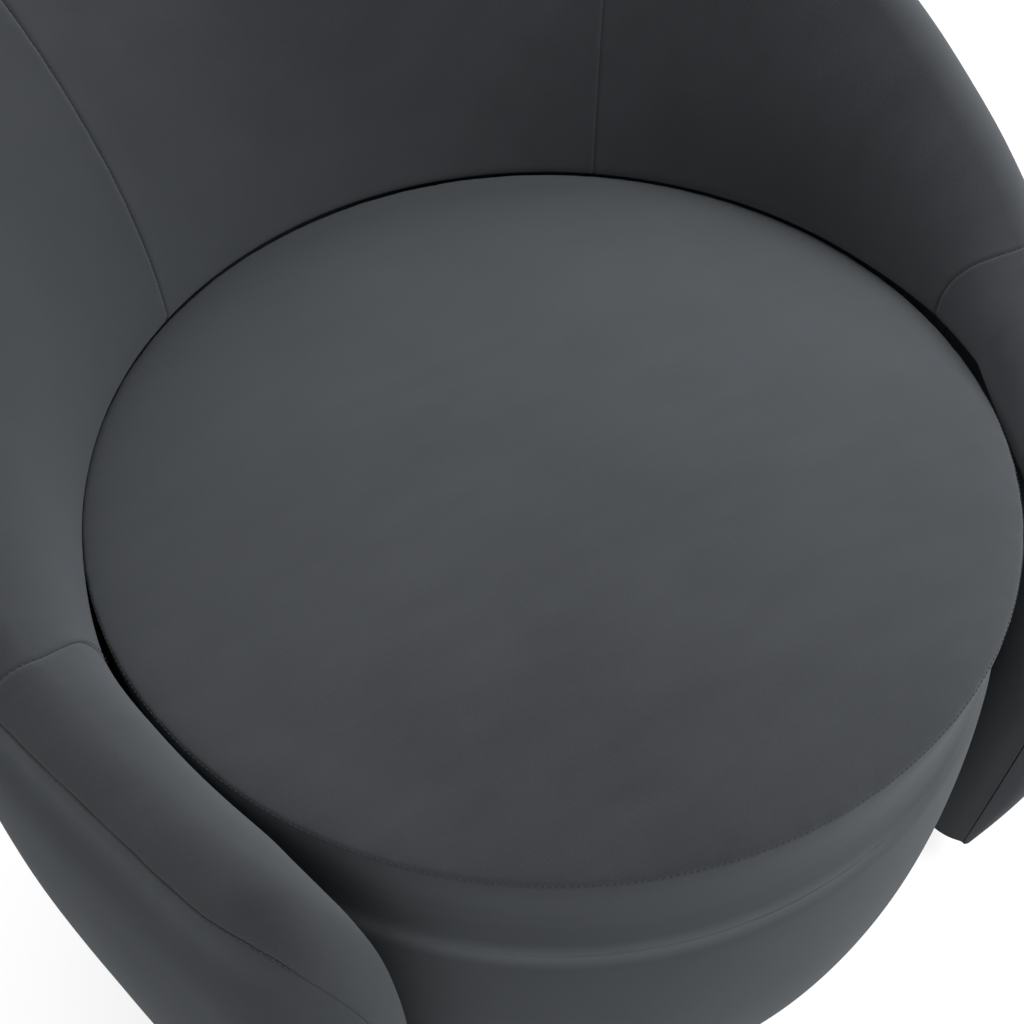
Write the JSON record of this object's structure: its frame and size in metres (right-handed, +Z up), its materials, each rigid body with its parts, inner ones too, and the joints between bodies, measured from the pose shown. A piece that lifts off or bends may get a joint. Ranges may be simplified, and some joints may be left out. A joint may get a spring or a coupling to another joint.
{
  "type": "swivel barrel chair",
  "caption": "Upholstered barrel chair with a round crowned seat, a wrap-around back that slopes into low arms, and a hidden ball-bearing swivel on a low plinth.",
  "frame": {"origin": "on the floor under the swivel axis", "axes": "+Z up along the swivel axis, the sitter faces -Y, +X is the sitter's left"},
  "size_m": [0.7877, 0.7514, 0.7],
  "materials": {
    "velvet": "charcoal grey velvet",
    "foam": "cut polyurethane foam",
    "wadding": "polyester wadding and felt",
    "webbing": "woven elastic webbing",
    "dust_cloth": "black non-woven cloth",
    "plywood": "raw plywood",
    "softwood": "planed softwood",
    "fibreboard": "hard fibreboard",
    "black_paint": "black painted plywood",
    "glide_plastic": "moulded nylon",
    "cage_plastic": "natural nylon",
    "zinc_steel": "zinc plated",
    "fastener_steel": "zinc plated",
    "bearing_steel": "polished balls"
  },
  "bodies": {
    "base": {"floor_glides": "glide_plastic", "base_plinth": "black_paint", "swivel_lower_plate": "zinc_steel", "lower_plate_screws": "fastener_steel"},
    "ball_cage": {"ball_cage": "cage_plastic", "bearing_balls": "bearing_steel"},
    "chair": {"drum_cover": "velvet", "seat_top_cover": "velvet", "seat_boxing_cover": "velvet", "back_cover": "velvet", "left_side_cover": "velvet", "right_side_cover": "velvet", "left_arm_cover": "velvet", "right_arm_cover": "velvet", "left_outer_cover": "velvet", "right_outer_cover": "velvet", "drum_foam": "foam", "seat_foam": "foam", "back_foam": "foam", "left_side_foam": "foam", "right_side_foam": "foam", "left_arm_foam": "foam", "right_arm_foam": "foam", "left_nose_foam": "foam", "right_nose_foam": "foam", "left_outer_foam": "foam", "right_outer_foam": "foam", "seat_wadding": "wadding", "spring_felt": "wadding", "lengthwise_webbing": "webbing", "crosswise_webbing": "webbing", "dust_cover": "dust_cloth", "bottom_panel": "plywood", "seat_ring": "plywood", "shell_bottom_rail": "plywood", "back_rib": "plywood", "left_arm_post": "plywood", "right_arm_post": "plywood", "left_shell_ribs": "plywood", "right_shell_ribs": "plywood", "left_top_rail": "plywood", "right_top_rail": "plywood", "drum_posts": "softwood", "joining_blocks": "softwood", "drum_wall": "fibreboard", "left_inner_board": "fibreboard", "right_inner_board": "fibreboard", "left_outer_board": "fibreboard", "right_outer_board": "fibreboard", "swivel_upper_plate": "zinc_steel", "swivel_hub": "zinc_steel", "hub_washer": "zinc_steel", "tee_nuts": "zinc_steel", "plate_bolts": "fastener_steel", "coach_screws": "fastener_steel", "hub_circlip": "fastener_steel"}
  },
  "joints": [
    {"name": "seat_swivel", "type": "hinge", "parent": "base", "child": "chair", "pos_m": [0, 0, 0.0365], "axis": [0, 0, 1], "continuous": true},
    {"name": "cage_turn", "type": "hinge", "parent": "base", "child": "ball_cage", "pos_m": [0, 0, 0.0365], "axis": [0, 0, 1], "continuous": true}
  ],
  "couplings": [
    {"joint": "cage_turn", "follows": "seat_swivel", "ratio": 0.5}
  ]
}
